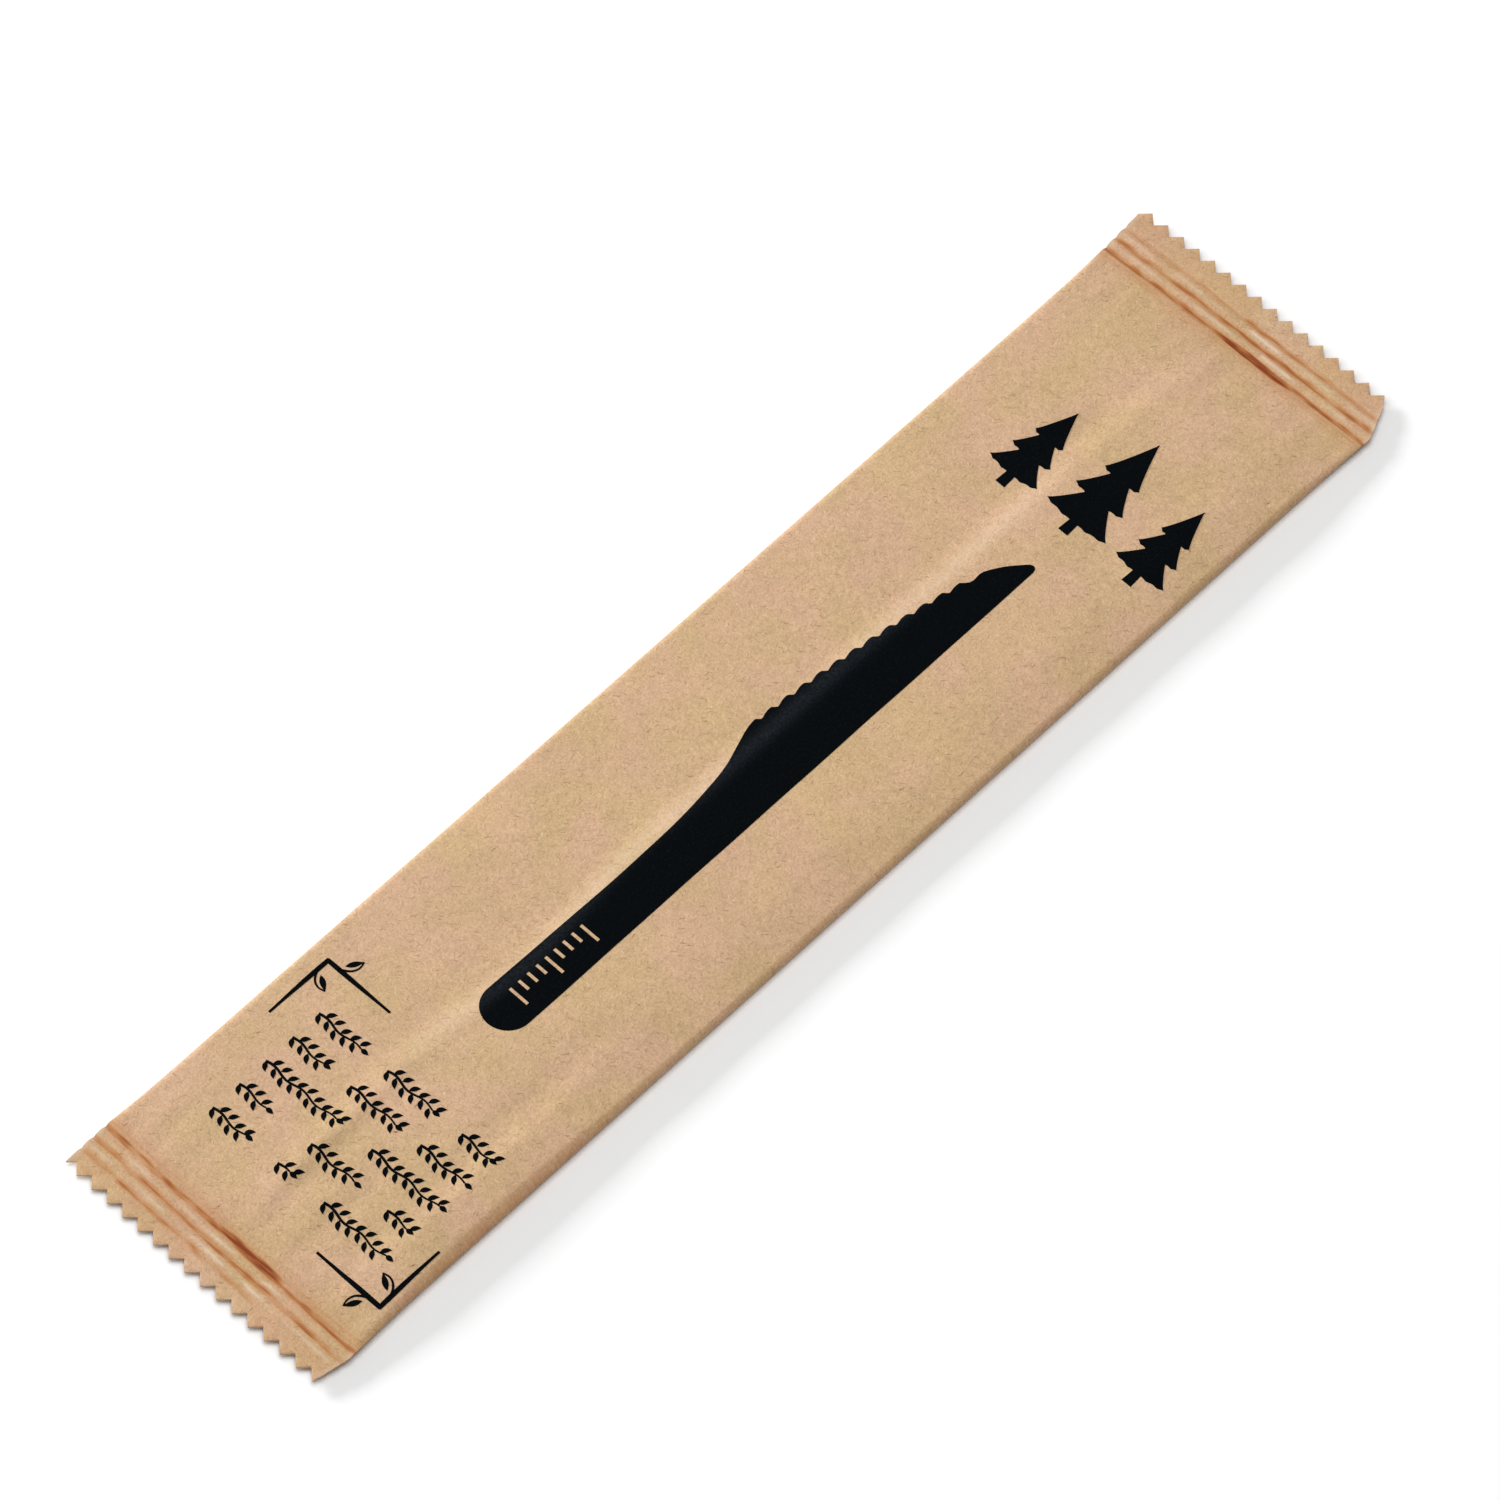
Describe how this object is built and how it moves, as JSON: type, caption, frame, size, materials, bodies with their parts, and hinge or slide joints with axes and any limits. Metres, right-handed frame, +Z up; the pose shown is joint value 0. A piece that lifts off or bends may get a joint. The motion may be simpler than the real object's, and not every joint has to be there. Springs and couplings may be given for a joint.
{
  "type": "wooden cutlery pack",
  "caption": "Flat sealed kraft paper pack with crimped, zigzag-cut ends, a folded back seam and a low ridge over the wooden knife inside.",
  "frame": {"origin": "on the ground, under the middle of the pack's overall length and width", "axes": "+X along the pack, +Y across it towards the toothed side of the printed knife, +Z up out of the printed front"},
  "size_m": [0.2004, 0.046, 0.0028],
  "materials": {
    "kraft_paper": "matt brown kraft paper with fine fibres"
  },
  "bodies": {
    "root": {"sealed_pack": "kraft_paper"}
  },
  "joints": []
}
